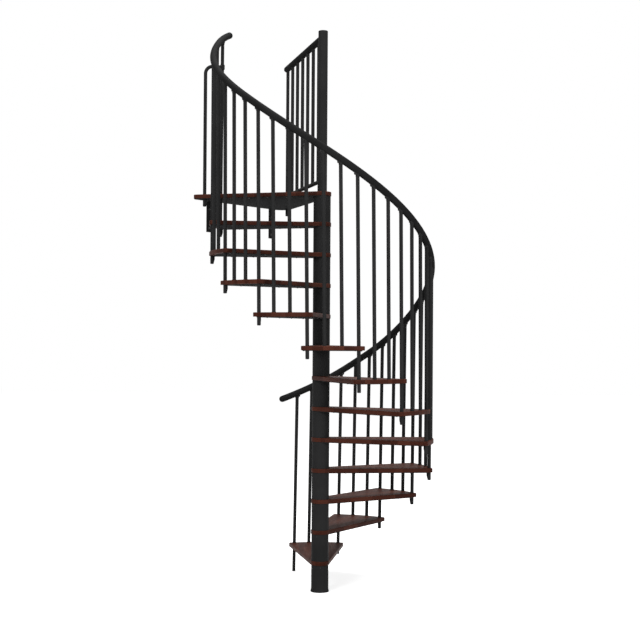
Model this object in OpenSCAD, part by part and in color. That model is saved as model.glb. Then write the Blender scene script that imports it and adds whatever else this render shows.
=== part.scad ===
// Spiral staircase: twelve timber treads and a landing clamped on a centre pole.
// It climbs clockwise seen from above. Millimetres, +Z up, origin on the floor at the pole's axis.
// Azimuths are measured clockwise from +Y, seen from above.

/* [Flight] */
// Height of one step, from tread top to tread top
rise = 215; // [200:1:230]
// Turn of the stair from one tread to the next, degrees
tread_turn = 25.2; // [24:0.1:26.4]
// Azimuth of the front corner baluster of the first tread, at that tread
first_azimuth = -14.7; // [-40:0.1:20]
// Distance from the axis to the middle of the balusters
baluster_ring_r = 768; // [640:1:930]
// Lean of the balusters: how far each turns round the column over one rise, degrees
baluster_lean = 0.21; // [0:0.01:0.4]

/* [Column] */
// Outer diameter of the spacer tubes
column_d = 121; // [100:1:140]
// Wall of the spacer tubes
column_wall = 3; // [2:0.5:6]
// Outer diameter of the centre pole, which is also the newel post
pole_d = 67; // [50:1:80]
// Wall of the centre pole
pole_wall = 4; // [3:0.5:6]
// Height of the newel post above the landing, under its cap
newel_height = 1129; // [1090:1:1250]
// Thickness of the newel's cap
cap_t = 8; // [5:1:14]
// Diameter of the floor flange
flange_d = 129; // [124:1:160]
// Thickness of the floor flange
flange_t = 8; // [6:1:14]
// Running gap between the pole and what is threaded on it
pole_gap = 0.3; // [0.1:0.1:0.6]

/* [Treads] */
// Thickness of the timber boards
board_t = 28; // [22:1:40]
// Thickness of the steel plate under each board
plate_t = 4; // [3:1:8]
// How far the plate stays inside the board's sides
plate_inset = 4; // [2:1:12]
// How far the plate stays inside the board's outer edge
plate_end_inset = 30; // [22:1:34]
// Distance from the middle of the balusters to the board's outer edge
edge_margin = 20; // [15:1:30]
// Distance from a corner baluster to the tread's side edge
corner_margin = 40; // [32:1:50]
// Radius of the tread's outer corners
corner_r = 16; // [8:1:20]
// Width of timber left around the spacer tubes
hub_margin = 4; // [2:0.5:10]

/* [Balusters] */
// Diameter of the balusters
baluster_d = 25; // [18:1:28]
// How far a corner baluster reaches below the tread plate
baluster_drop = 54; // [40:1:80]
// Gap around a baluster in a board or plate
baluster_gap = 0.25; // [0.1:0.05:0.5]
// Depth of the gusset under a corner baluster's hole
gusset_h = 44; // [20:1:50]
// Width of the gusset beside the baluster
gusset_w = 6; // [3:1:12]
// Thickness of the gusset
gusset_t = 8; // [4:1:12]

/* [Handrail] */
// Diameter of the handrail
rail_d = 48; // [40:1:56]
// Height of the handrail's middle above the front corner of each tread
rail_height = 1130; // [950:1:1300]
// How far the handrail sinks below that over the first treads
rail_dip = 40; // [0:1:45]
// Rise of the handrail over the middle treads, kept up to its end
rail_crest = 7; // [0:1:12]
// How far the handrail runs on before the first baluster, in baluster spaces
rail_lead = 1.05; // [0.5:0.05:1.2]
// How far the handrail runs on past the last baluster, in baluster spaces
rail_tail = 0.95; // [0.6:0.05:1.6]
// Depth of a baluster's top below the handrail's middle
socket_depth = 6; // [0:1:8]

/* [Landing] */
// Distance from the middle of the balusters out to the landing's front corner
landing_front_reach = 151; // [100:1:220]
// Azimuth of the landing's front corner, past the last corner baluster
landing_front_turn = -4.2; // [-6:0.1:-4]
// Radius of the landing's front corner
landing_front_corner_r = 30; // [20:1:50]
// Distance from the middle of the balusters out to the landing's back corner
landing_back_reach = 165; // [150:1:190]
// Azimuth of the landing's back corner, past the last corner baluster
landing_back_turn = 52.7; // [48:0.1:58]
// Radius of the landing's back corner
landing_back_corner_r = 75; // [65:1:100]

/* [Landing fence] */
// Azimuth of the fence, past the landing's back corner
fence_turn = 2.4; // [0:0.1:2.8]
// Distance from the axis to the fence's first baluster
fence_first_r = 100; // [80:1:200]
// Distance from the middle of the balusters out to the fence's end post
fence_end_reach = 147; // [130:1:185]
// Height of the middle of the top rail above the landing, at the end post
fence_height = 1058; // [950:1:1080]
// Fall of the fence's top rail from the column's axis to the end post
fence_fall = 32; // [0:1:40]
// Height of the middle of the bottom rail above the landing, at the end post
fence_low = 72; // [50:1:120]
// Fall of the fence's low rail from the column's axis to the end post
fence_low_fall = 10; // [0:1:20]
// Diameter of the bottom rail
low_rail_d = 28; // [22:1:36]
// Overhang of the top rail past the end post
fence_overhang = 28; // [25:1:80]
// Number of balusters between the newel and the end post
fence_count = 6; // [5:1:8]

/* [Landing guard] */
// Distance from the middle of the balusters out to the guard tube
guard_reach = 101; // [55:1:120]
// Height of the middle of the guard's top above the landing
guard_height = 929; // [800:1:1000]
// Radius of the guard's bend, on the tube's middle line
guard_bend_r = 56; // [40:1:65]
// Wall of the collar that holds the guard to the last corner baluster
collar_t = 5; // [3:1:8]
// Height of that collar
collar_h = 34; // [28:1:50]

/* [Slab brackets] */
// Width of the flat bars that bolt the landing to the upper floor
bar_w = 40; // [30:1:60]
// Thickness of the flat bars
bar_t = 6; // [5:1:10]
// Length of the flat bars below the landing's plate
bar_h = 226; // [150:1:280]
// Distance of the first bar from the front end of the straight outer edge
bar_front_inset = 135; // [60:1:200]
// Distance of the last bar from the back end of the straight outer edge
bar_back_inset = 52; // [22:1:120]
// Diameter of the anchor holes in the bars
bar_hole_d = 11; // [8:0.5:14]

/* [Hidden] */
$fn = 64;

steel = [0.16, 0.16, 0.165];
timber = [0.36, 0.22, 0.16];

tread_count = 12;
spaces = 3;                                  // baluster spaces on one tread
landing_z = (tread_count + 1) * rise;
tread_t = board_t + plate_t;
hub_r = column_d / 2 + hub_margin;
tread_r = baluster_ring_r + edge_margin;
corner_c_r = tread_r - corner_r;             // distance from the axis to a corner's middle
corner_half = (tread_turn - baluster_lean) / 2 + asin((corner_margin - corner_r) / corner_c_r);
last_azimuth = first_azimuth + tread_count * tread_turn;
last_n = tread_count * spaces;

// Plan point at a distance from the axis and an azimuth
function at(r, az) = [r * sin(az), r * cos(az)];
function heading(v) = atan2(v[1], v[0]);

// Azimuth of baluster n at a height, and the plan point of its straight leaning axis there
function azimuth(n, z) = first_azimuth + n * (tread_turn - baluster_lean) / spaces
    + baluster_lean * (z / rise - 1);
lean_slope = baluster_ring_r * baluster_lean * PI / 180 / rise;
function lean_middle(n) = rise * (1 + n / spaces) + rail_height / 2;
function baluster_at(n, z) =
    let (m = lean_middle(n),
         a = azimuth(n, m))
    at(baluster_ring_r, a) + lean_slope * (z - m) * [cos(a), -sin(a)];

// Points of an arc, counterclockwise
function arc(c, r, a0, a1, steps) = [for (i = [0:steps]) c + r * [cos(a0 + (a1 - a0) * i / steps),
                                                                 sin(a0 + (a1 - a0) * i / steps)]];
// Direction, seen from both circles, of the points where their common outer tangent touches
function tangent_dir(p, q) = heading(q[0] - p[0]) - acos((p[1] - q[1]) / norm(q[0] - p[0]));
function after(a, b) = b < a ? after(a, b + 360) : b > a + 360 ? after(a, b - 360) : b;

// Outline of a band stretched round circles [[centre, radius], ...], counterclockwise
function band(circles) = let (n = len(circles)) [
    for (i = [0:n - 1])
        let (a0 = tangent_dir(circles[(i + n - 1) % n], circles[i]),
             a1 = after(a0, tangent_dir(circles[i], circles[(i + 1) % n])))
        each arc(circles[i][0], circles[i][1], a0, a1, 12)];

// Outline of a tread along +X: round the hub, along both sides, round the corners and the outer arc
function tread_outline(inset, end_inset) =
    let (hub = [[0, 0], hub_r - inset],
         c = corner_c_r - end_inset,
         r = corner_r - inset,
         left = [[c * cos(corner_half), c * sin(corner_half)], r],
         right = [[c * cos(corner_half), -c * sin(corner_half)], r],
         dir_in = tangent_dir(hub, right),
         dir_out = after(0, tangent_dir(left, hub)))
    concat(
        arc([0, 0], hub[1], dir_out, dir_in + 360, 24),
        arc(right[0], r, dir_in, -corner_half, 6),
        arc([0, 0], c + r, -corner_half, corner_half, 12),
        arc(left[0], r, corner_half, dir_out, 6));

// Middle azimuth of tread k
function tread_azimuth(k) = first_azimuth + (k - 0.5) * tread_turn - baluster_lean / 2;
function tread_top(k) = k * rise;
function tread_bottom(k) = tread_top(k) - tread_t;

function ease(x) = let (u = min(1, max(0, x))) u * u * (3 - 2 * u);

// Middle line of the handrail, by baluster number: it sinks over the first treads, lifts at its
// start and flattens out at its end
dip_last = 5;                                // the dip is full up to here
dip_end = 10.5;
crest_start = 24;
crest_full = 28;
lift_end = 3.5;
start_lift = 3.7;
fall_start = last_n - 0.7;
end_fall = 8;
function rail_z(n) = rise * (1 + n / spaces) + rail_height
    - rail_dip * ease((dip_end - n) / (dip_end - dip_last))
    + rail_crest * ease((n - crest_start) / (crest_full - crest_start))
    + start_lift * pow(max(0, lift_end - n), 2)
    - end_fall * pow(max(0, n - fall_start), 2);
function rail_point(n) = [each baluster_at(n, rail_z(n)), rail_z(n)];
function rail_tangent(n) = let (t = rail_point(n + 0.01) - rail_point(n - 0.01)) t / norm(t);

// Top of baluster n, inside its socket in the handrail
function baluster_top(n) = rail_z(n) - socket_depth;

fence_end_r = baluster_ring_r + fence_end_reach;
landing_circles = [
    [[0, 0], hub_r],
    [at(baluster_ring_r + landing_back_reach, last_azimuth + landing_back_turn), landing_back_corner_r],
    [at(baluster_ring_r + landing_front_reach, last_azimuth + landing_front_turn), landing_front_corner_r]];
outer_normal = tangent_dir(landing_circles[1], landing_circles[2]);
outer_out = [cos(outer_normal), sin(outer_normal)];
outer_back = landing_circles[1][0] + landing_circles[1][1] * outer_out;
outer_front = landing_circles[2][0] + landing_circles[2][1] * outer_out;
outer_along = (outer_back - outer_front) / norm(outer_back - outer_front);
fence_azimuth = last_azimuth + landing_back_turn + fence_turn;
guard_xy = at(baluster_ring_r + guard_reach, last_azimuth + landing_front_turn);
fence_end_xy = at(fence_end_r, fence_azimuth);
post_bottom = landing_z - tread_t - baluster_drop;

// Cylinder across the holes of a board or plate, at a plan point
module through(xy, d, z0, z1) {
    translate([xy[0], xy[1], z0 - 1]) cylinder(d = d, h = z1 - z0 + 2);
}

module upright(xy, z0, z1, d = baluster_d) {
    translate([xy[0], xy[1], z0]) cylinder(d = d, h = z1 - z0);
}

// Cylinder along the axis of baluster n
module leaning(n, z0, z1, d = baluster_d) {
    p = baluster_at(n, z0);
    v = [each baluster_at(n, z1) - p, z1 - z0];
    translate([p[0], p[1], z0]) rotate([0, acos(v[2] / norm(v)), heading(v)]) cylinder(d = d, h = norm(v));
}

// Upright hole that clears the leaning baluster all the way
module baluster_hole(n, z0, z1) {
    through(baluster_at(n, (z0 + z1) / 2), baluster_d + 2 * baluster_gap + (z1 - z0) * lean_slope, z0, z1);
}

// ---- column ----
module floor_flange() {
    color(steel) {
        cylinder(d = flange_d, h = flange_t);
        translate([0, 0, flange_t]) cylinder(d = column_d - 2 * column_wall - 1, h = 12);
    }
}

module centre_pole() {
    color(steel) translate([0, 0, flange_t + 12]) difference() {
        cylinder(d = pole_d, h = landing_z + newel_height - flange_t - 12);
        translate([0, 0, -1]) cylinder(d = pole_d - 2 * pole_wall, h = landing_z + newel_height);
    }
}

module newel_cap() {
    color(steel) translate([0, 0, landing_z + newel_height]) rotate_extrude() difference() {
        union() {
            square([pole_d / 2 - cap_t / 2, cap_t]);
            square([pole_d / 2, cap_t / 2]);
            translate([pole_d / 2 - cap_t / 2, cap_t / 2]) circle(d = cap_t, $fn = 32);
        }
        translate([-10, -10]) square([10, 40]);
    }
}

module spacer(z0, z1) {
    translate([0, 0, z0]) difference() {
        cylinder(d = column_d, h = z1 - z0);
        translate([0, 0, -1]) cylinder(d = column_d - 2 * column_wall, h = z1 - z0 + 2);
    }
}

module column_spacers() {
    color(steel) for (k = [1:tread_count + 1])
        spacer(k == 1 ? flange_t : tread_top(k - 1), tread_bottom(k));
}

// ---- treads ----
module tread_holes(k, z0, z1) {
    through([0, 0], pole_d + 2 * pole_gap, z0, z1);
    for (n = [spaces * (k - 1), spaces * k]) baluster_hole(n, z0, z1);
}

module tread_slab(k, z0, t, inset, end_inset) {
    difference() {
        translate([0, 0, z0]) rotate(90 - tread_azimuth(k)) linear_extrude(t)
            polygon(tread_outline(inset, end_inset));
        tread_holes(k, z0, z0 + t);
    }
}

module tread(k) {
    color(timber) tread_slab(k, tread_top(k) - board_t, board_t, 0, 0);
}

// Wedge under a plate, on the column's side of a baluster
module gusset(xy, z_top) {
    translate([xy[0], xy[1], z_top]) rotate(heading(-xy)) rotate([90, 0, 0])
        translate([0, 0, -gusset_t / 2]) linear_extrude(gusset_t)
            polygon([[0, 0], [baluster_d / 2 + gusset_w, 0], [baluster_d / 2 + gusset_w, -gusset_h / 2],
                     [baluster_d / 2, -gusset_h], [0, -gusset_h]]);
}

module tread_plates() {
    color(steel) for (k = [1:tread_count]) {
        tread_slab(k, tread_bottom(k), plate_t, plate_inset, plate_end_inset);
        z = tread_bottom(k);
        difference() {
            gusset(baluster_at(spaces * k, z), z);
            baluster_hole(spaces * k, z - gusset_h, z);
        }
    }
}

// ---- landing ----
module landing_holes(z0, z1) {
    through([0, 0], pole_d + 2 * pole_gap, z0, z1);
    baluster_hole(last_n, z0, z1);
    for (xy = [fence_end_xy, guard_xy]) through(xy, baluster_d + 2 * baluster_gap, z0, z1);
}

module landing_slab(z0, t, inset) {
    difference() {
        translate([0, 0, z0]) linear_extrude(t)
            polygon(band([for (c = landing_circles) [c[0], c[1] - inset]]));
        landing_holes(z0, z0 + t);
    }
}

module landing_board() {
    color(timber) landing_slab(landing_z - board_t, board_t, 0);
}

module landing_plate() {
    color(steel) {
        landing_slab(landing_z - tread_t, plate_t, plate_inset);
        z = landing_z - tread_t;
        for (xy = [fence_end_xy, guard_xy]) difference() {
            gusset(xy, z);
            through(xy, baluster_d + 2 * baluster_gap, z - gusset_h, z);
        }
    }
}

// Flat bar that stands against the edge of the upper floor
module slab_bracket(along) {
    z0 = landing_z - tread_t - bar_h;
    p = outer_front + along * outer_along - plate_inset * outer_out;
    translate([p[0], p[1], z0]) rotate(outer_normal) difference() {
        translate([-bar_t, -bar_w / 2, 0]) cube([bar_t, bar_w, bar_h]);
        for (z = [30, bar_h - 60])
            translate([1, 0, z]) rotate([0, -90, 0]) cylinder(d = bar_hole_d, h = bar_t + 2);
    }
}

module slab_brackets() {
    color(steel) {
        slab_bracket(bar_front_inset);
        slab_bracket(norm(outer_back - outer_front) - bar_back_inset);
    }
}

// ---- balusters ----
// Corner balusters start below their tread's plate, the others stand on the tread
function baluster_bottom(n) = n == 0 ? 0
    : n % spaces == 0 ? tread_bottom(n / spaces) - baluster_drop
    : tread_top(ceil(n / spaces));

module baluster(n) {
    z = baluster_bottom(n);
    stands_on = n % spaces == 0 ? 0 : baluster_d / 2 * lean_slope;
    if (n > 0) leaning(n, z + stands_on, baluster_top(n));
    else difference() {
        p = baluster_at(n, z);
        leaning(n, z - 2, baluster_top(n));
        translate([p[0] - baluster_d, p[1] - baluster_d, z - 10])
            cube([2 * baluster_d, 2 * baluster_d, 10]);
    }
}

module starting_baluster() {
    color(steel) baluster(0);
}

module tread_balusters(k) {
    color(steel) for (n = [spaces * (k - 1) + 1:spaces * k]) baluster(n);
}

// ---- handrail ----
rail_sides = 16;
rail_steps = 3;                              // rings in one baluster space

// Ring of points square to the handrail, shrunk and pushed along it for the rounded ends
function rail_ring(n, push, scale) =
    let (t = rail_tangent(n),
         side = [each at(1, azimuth(n, rail_z(n))), 0],
         up = cross(side, t),
         c = rail_point(n) + push * t,
         r = rail_d / 2 * scale)
    [for (i = [0:rail_sides - 1]) c + r * (cos(360 * i / rail_sides) * side
                                         + sin(360 * i / rail_sides) * up)];

end_angles = [20, 42, 62, 78];               // of a rounded end, from the tube to its tip
function end_rings(n, way) = [for (a = end_angles) rail_ring(n, way * rail_d / 2 * sin(a), cos(a))];
function backwards(v) = [for (i = [len(v) - 1:-1:0]) v[i]];

module tube_of(rings) {
    m = rail_sides;
    last = len(rings) - 1;
    polyhedron(
        points = [for (ring = rings) each ring],
        faces = concat(
            [[for (i = [m - 1:-1:0]) i]],
            [[for (i = [0:m - 1]) last * m + i]],
            [for (j = [0:last - 1], i = [0:m - 1])
                [j * m + i, j * m + (i + 1) % m, (j + 1) * m + (i + 1) % m, (j + 1) * m + i]]));
}

rail_cuts = [-rail_lead, 8.5, 18.5, 28.5, last_n + rail_tail];

module handrail(part) {
    n0 = rail_cuts[part - 1];
    n1 = rail_cuts[part];
    steps = round((n1 - n0) * rail_steps);
    middle = [for (i = [0:steps]) rail_ring(n0 + (n1 - n0) * i / steps, 0, 1)];
    rings = concat(part == 1 ? backwards(end_rings(n0, -1)) : [], middle,
                   part == len(rail_cuts) - 1 ? end_rings(n1, 1) : []);
    color(steel) difference() {
        tube_of(rings);
        for (n = [max(0, ceil(n0)):min(last_n, floor(n1))])
            leaning(n, baluster_top(n) - 2 * rail_d, baluster_top(n));
    }
}

// ---- landing fence ----
// Tube along the fence, from the newel's middle out to a distance
function fence_z(r, height, fall) = landing_z + height + fall * (1 - r / fence_end_r);

// Stands a piece along +Z on the fence's line from the column's axis, with a fall outwards
module on_fence(height, fall) {
    translate([0, 0, fence_z(0, height, fall)]) rotate(90 - fence_azimuth)
        rotate([0, 90 + atan(fall / fence_end_r), 0]) children();
}

module low_rail() {
    on_fence(fence_low, fence_low_fall) cylinder(d = low_rail_d, h = fence_end_r);
}

function fence_r(i) = fence_first_r + (i - 1) * (fence_end_r - fence_first_r) / fence_count;
function fence_top(r) = fence_z(r, fence_height, fence_fall) - socket_depth;

module fence_top_rail() {
    length = fence_end_r + fence_overhang;
    color(steel) difference() {
        on_fence(fence_height, fence_fall) rotate_extrude() {
            square([rail_d / 2, length]);
            translate([0, length]) intersection() {
                circle(d = rail_d);
                square(rail_d);
            }
        }
        upright([0, 0], landing_z, landing_z + newel_height, pole_d);
        for (i = [1:fence_count + 1], r = [fence_r(i)])
            upright(at(r, fence_azimuth), landing_z, fence_top(r));
    }
}

module fence_bottom_rail() {
    color(steel) difference() {
        low_rail();
        upright([0, 0], landing_z, landing_z + newel_height, pole_d);
        upright(fence_end_xy, landing_z, fence_top(fence_end_r));
    }
}

module fence_balusters() {
    color(steel) difference() {
        for (i = [1:fence_count], r = [fence_r(i)])
            upright(at(r, fence_azimuth), fence_z(r, fence_low, fence_low_fall), fence_top(r));
        low_rail();
    }
}

module fence_end_post() {
    color(steel) upright(fence_end_xy, post_bottom, fence_top(fence_end_r));
}

// Hoop from the landing's front corner to a collar on the last corner baluster
module landing_guard() {
    top = landing_z + guard_height;
    corner = baluster_at(last_n, top);
    reach = corner - guard_xy;
    z_bend = top - guard_bend_r;
    tube_end = norm(reach) - baluster_d / 2 - collar_t / 2;
    color(steel) difference() {
        union() {
            translate([guard_xy[0], guard_xy[1], 0]) rotate(heading(reach)) {
                translate([0, 0, post_bottom]) cylinder(d = baluster_d, h = z_bend - post_bottom);
                translate([guard_bend_r, 0, z_bend]) rotate([90, 0, 0]) rotate(90)
                    rotate_extrude(angle = 90) translate([guard_bend_r, 0]) circle(d = baluster_d);
                translate([guard_bend_r, 0, top]) rotate([0, 90, 0])
                    cylinder(d = baluster_d, h = tube_end - guard_bend_r);
            }
            upright(corner, top - collar_h / 2, top + collar_h / 2, baluster_d + 2 * collar_t);
        }
        through(corner, baluster_d + 2 * baluster_gap + collar_h * lean_slope, top - collar_h / 2,
                top + collar_h / 2);
    }
}

floor_flange();
centre_pole();
newel_cap();
column_spacers();
tread(1);  // tread_01
tread(2);  // tread_02
tread(3);  // tread_03
tread(4);  // tread_04
tread(5);  // tread_05
tread(6);  // tread_06
tread(7);  // tread_07
tread(8);  // tread_08
tread(9);  // tread_09
tread(10);  // tread_10
tread(11);  // tread_11
tread(12);  // tread_12
tread_plates();
landing_board();
landing_plate();
starting_baluster();
tread_balusters(1);  // balusters_01
tread_balusters(2);  // balusters_02
tread_balusters(3);  // balusters_03
tread_balusters(4);  // balusters_04
tread_balusters(5);  // balusters_05
tread_balusters(6);  // balusters_06
tread_balusters(7);  // balusters_07
tread_balusters(8);  // balusters_08
tread_balusters(9);  // balusters_09
tread_balusters(10);  // balusters_10
tread_balusters(11);  // balusters_11
tread_balusters(12);  // balusters_12
handrail(1);  // handrail_1
handrail(2);  // handrail_2
handrail(3);  // handrail_3
handrail(4);  // handrail_4
fence_top_rail();
fence_bottom_rail();
fence_balusters();
fence_end_post();
landing_guard();
slab_brackets();
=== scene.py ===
from math import sin, cos, asin, acos, atan2, pi, radians, hypot

import bmesh
import bpy
from mathutils import Matrix, Vector
from mathutils.geometry import tessellate_polygon


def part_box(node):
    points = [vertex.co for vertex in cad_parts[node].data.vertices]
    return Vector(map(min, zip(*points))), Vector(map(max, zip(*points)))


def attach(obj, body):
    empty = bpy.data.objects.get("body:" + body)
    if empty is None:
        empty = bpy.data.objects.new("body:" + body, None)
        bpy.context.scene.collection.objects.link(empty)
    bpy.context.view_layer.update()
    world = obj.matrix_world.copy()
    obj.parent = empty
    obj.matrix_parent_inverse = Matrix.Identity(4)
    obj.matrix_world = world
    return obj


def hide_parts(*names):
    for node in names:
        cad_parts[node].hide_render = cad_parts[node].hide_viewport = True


# Spiral staircase. Metres, +Z up, origin on the floor at the pole's axis.
# Azimuths are in degrees, clockwise from +Y seen from above.

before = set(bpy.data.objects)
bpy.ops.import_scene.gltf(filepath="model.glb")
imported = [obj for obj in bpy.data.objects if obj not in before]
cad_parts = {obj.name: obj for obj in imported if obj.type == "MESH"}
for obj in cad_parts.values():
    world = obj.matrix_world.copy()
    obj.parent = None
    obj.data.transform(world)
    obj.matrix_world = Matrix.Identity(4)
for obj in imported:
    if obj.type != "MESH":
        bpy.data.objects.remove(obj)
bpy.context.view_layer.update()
print("frame loaded:", len(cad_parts), "nodes")

stair = {                       # the frame's own sizes: they change together with it
    "rise": 0.215,
    "turn": 25.2,
    "firstAzimuth": -14.7,
    "treads": 12,
    "spaces": 3,                # baluster spaces on one tread
    "lean": 0.21,               # balusters turn by this round the column over one rise
    "railHeight": 1.130,        # above the front corner of each tread
    "ringRadius": 0.768,        # axis to the middle of the balusters
    "boardThick": 0.028,
    "plateThick": 0.004,
    "plateInset": 0.004,
    "columnRadius": 0.0605,
    "hubMargin": 0.004,
    "poleRadius": 0.0335,
    "balusterRadius": 0.0125,
    "balusterDrop": 0.054,
    "railRadius": 0.0237,       # the frame's facets lie a little inside its 24 mm
}
landingTop = (stair["treads"] + 1) * stair["rise"]
slabThick = stair["boardThick"] + stair["plateThick"]
lastNumber = stair["treads"] * stair["spaces"]
lastAzimuth = stair["firstAzimuth"] + stair["treads"] * stair["turn"]
hubRadius = stair["columnRadius"] + stair["hubMargin"]


def at(radius, azimuth, z=0.0):
    return Vector((radius * sin(radians(azimuth)), radius * cos(radians(azimuth)), z))


def balusterAt(number, z):      # point of a baluster's straight, slightly leaning axis
    middle = stair["rise"] * (1 + number / stair["spaces"]) + stair["railHeight"] / 2
    azimuth = (stair["firstAzimuth"] + number * (stair["turn"] - stair["lean"]) / stair["spaces"]
               + stair["lean"] * (middle / stair["rise"] - 1))
    along = Vector((cos(radians(azimuth)), -sin(radians(azimuth)), 0))
    slope = stair["ringRadius"] * radians(stair["lean"]) / stair["rise"]
    return at(stair["ringRadius"], azimuth, z) + along * slope * (z - middle)


def treadAzimuth(k):
    return stair["firstAzimuth"] + (k - 0.5) * stair["turn"] - stair["lean"] / 2


def ease(x):
    u = min(1.0, max(0.0, x))
    return u * u * (3 - 2 * u)


rail = {                        # the handrail's middle line, by baluster number
    "dip": 0.040,               # it sinks by this over the first treads
    "dipLast": 5.0,
    "dipEnd": 10.5,
    "crest": 0.007,             # it rises by this over the upper treads
    "crestStart": 24.0,
    "crestFull": 28.0,
    "lift": 0.0037,             # and lifts towards its lower end
    "liftEnd": 3.5,
    "fall": 0.008,              # flattens out at its upper end
    "fallStart": lastNumber - 0.7,
    "lead": 1.05,               # runs on past the first and the last baluster
    "tail": 0.95,
    "joints": (8.5, 18.5, 28.5),
}


def railZ(n):
    return (stair["rise"] * (1 + n / stair["spaces"]) + stair["railHeight"]
            - rail["dip"] * ease((rail["dipEnd"] - n) / (rail["dipEnd"] - rail["dipLast"]))
            + rail["crest"] * ease((n - rail["crestStart"]) / (rail["crestFull"] - rail["crestStart"]))
            + rail["lift"] * max(0.0, rail["liftEnd"] - n) ** 2
            - rail["fall"] * max(0.0, n - rail["fallStart"]) ** 2)


def railPoint(n):
    return balusterAt(n, railZ(n))


def railTangent(n):
    return (railPoint(n + 0.01) - railPoint(n - 0.01)).normalized()


def shaderTree(name):
    material = bpy.data.materials.new(name)
    material.use_nodes = True
    tree = material.node_tree
    return material, tree, tree.nodes["Principled BSDF"]


def addNode(tree, kind, **settings):
    node = tree.nodes.new(kind)
    for key, value in settings.items():
        setattr(node, key, value)
    return node


def feed(tree, value, socket):  # numbers and colours are set on the socket, outputs are linked to it
    if isinstance(value, (int, float)):
        socket.default_value = value
    elif isinstance(value, tuple):
        socket.default_value = (*value, 1.0)
    else:
        tree.links.new(value, socket)


def math(tree, operation, *values, clamp=False):
    node = addNode(tree, "ShaderNodeMath", operation=operation, use_clamp=clamp)
    for i, value in enumerate(values):
        feed(tree, value, node.inputs[i])
    return node.outputs[0]


def mixColour(tree, amount, a, b):
    node = addNode(tree, "ShaderNodeMix", data_type="RGBA")
    for i, value in ((0, amount), (6, a), (7, b)):
        feed(tree, value, node.inputs[i])
    return node.outputs[2]


def noiseOn(tree, vector, scale, detail, rough):
    node = addNode(tree, "ShaderNodeTexNoise", noise_dimensions="3D")
    for label, value in (("Vector", vector), ("Scale", scale), ("Detail", detail), ("Roughness", rough)):
        feed(tree, value, node.inputs[label])
    return node.outputs["Fac"]


def fromTo(tree, value, a0, a1, b0, b1):
    node = addNode(tree, "ShaderNodeMapRange", clamp=True)
    for i, number in enumerate((value, a0, a1, b0, b1)):
        feed(tree, number, node.inputs[i])
    return node.outputs[0]


def addBump(tree, shader, height, strength, distance):
    bump = addNode(tree, "ShaderNodeBump")
    for label, value in (("Height", height), ("Strength", strength), ("Distance", distance)):
        feed(tree, value, bump.inputs[label])
    tree.links.new(bump.outputs[0], shader.inputs["Normal"])


usual = (0.3, 0.7)              # most values of a noise lie between these

powder = {                      # charcoal powder coat with hardly any gloss
    "colour": (0.0125, 0.0125, 0.0127),
    "lighter": (0.0160, 0.0160, 0.0162),
    "rubbed": (0.040, 0.039, 0.038),
    "cloud": (5.0, 3.0, 0.55),  # noises: scale, detail, roughness
    "speck": (240.0, 2.0, 0.6),
    "sheen": (38.0, 4.0, 0.6),
    "peel": (520.0, 1.5, 0.4),  # orange peel, lumps about 2 mm wide
    "peelStrength": 0.55,
    "peelDepth": 0.00004,
    "scuffs": 0.35,
    "roughness": (0.50, 0.64),
    "tube": {"shade": 1.0, "specular": 0.020},
    "railDarkened": {"shade": 0.74, "specular": 0.003},      # rails: darker copy of the coat, painted shade against the top lamp's light, with little gloss
    "plate": {"shade": 1.12, "specular": 0.001},        # plates under the treads: lighter copy of the coat, painted light making up for their shade, and matt
}


def powderCoat(name, shade, specular):
    material, tree, shader = shaderTree(name)
    place = addNode(tree, "ShaderNodeTexCoord").outputs["Object"]
    cloud, speck, sheen, peel = (noiseOn(tree, place, *powder[key])
                                 for key in ("cloud", "speck", "sheen", "peel"))
    # shade scales the coat's colour: below 1 it paints shade, above 1 it paints light
    colour, lighter = (tuple(c * shade for c in powder[key]) for key in ("colour", "lighter"))
    base = mixColour(tree, fromTo(tree, cloud, 0.35, 0.68, 0.0, 1.0), colour, lighter)
    scuff = math(tree, "MULTIPLY", fromTo(tree, speck, 0.66, 0.74, 0.0, 1.0),
                 fromTo(tree, cloud, 0.52, 0.66, 0.0, powder["scuffs"]))
    tree.links.new(mixColour(tree, scuff, base, powder["rubbed"]), shader.inputs["Base Color"])
    tree.links.new(fromTo(tree, sheen, *usual, *powder["roughness"]), shader.inputs["Roughness"])
    shader.inputs["Specular IOR Level"].default_value = specular
    addBump(tree, shader, peel, powder["peelStrength"], powder["peelDepth"])
    return material


fixing = {"colour": (0.030, 0.030, 0.031), "lighter": (0.055, 0.054, 0.052), "cloud": (300.0, 3.0, 0.6),
          "cloudStart": 0.35, "roughness": (0.28, 0.42), "metallic": 0.75}
plug = {"colour": (0.0125, 0.0125, 0.0128), "lighter": (0.018, 0.018, 0.018), "cloud": (30.0, 2.0, 0.5),
        "cloudStart": 0.3, "roughness": (0.55, 0.68), "specular": 0.06,
        "grain": (900.0, 1.0, 0.5), "grainStrength": 0.3, "grainDepth": 0.00003}


def cloudedCoat(name, look):
    material, tree, shader = shaderTree(name)
    place = addNode(tree, "ShaderNodeTexCoord").outputs["Object"]
    cloud = noiseOn(tree, place, *look["cloud"])
    amount = fromTo(tree, cloud, look["cloudStart"], 0.7, 0.0, 1.0)
    tree.links.new(mixColour(tree, amount, look["colour"], look["lighter"]), shader.inputs["Base Color"])
    tree.links.new(fromTo(tree, cloud, *usual, *look["roughness"]), shader.inputs["Roughness"])
    return material, tree, shader, place


def blackZinc():                # passivated screws
    material, _, shader, _ = cloudedCoat("blackZincScrew", fixing)
    shader.inputs["Metallic"].default_value = fixing["metallic"]
    return material


def plugPlastic():              # moulded end plugs, caps and saddles
    material, tree, shader, place = cloudedCoat("blackPlugPlastic", plug)
    shader.inputs["Specular IOR Level"].default_value = plug["specular"]
    addBump(tree, shader, noiseOn(tree, place, *plug["grain"]), plug["grainStrength"], plug["grainDepth"])
    return material


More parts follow.
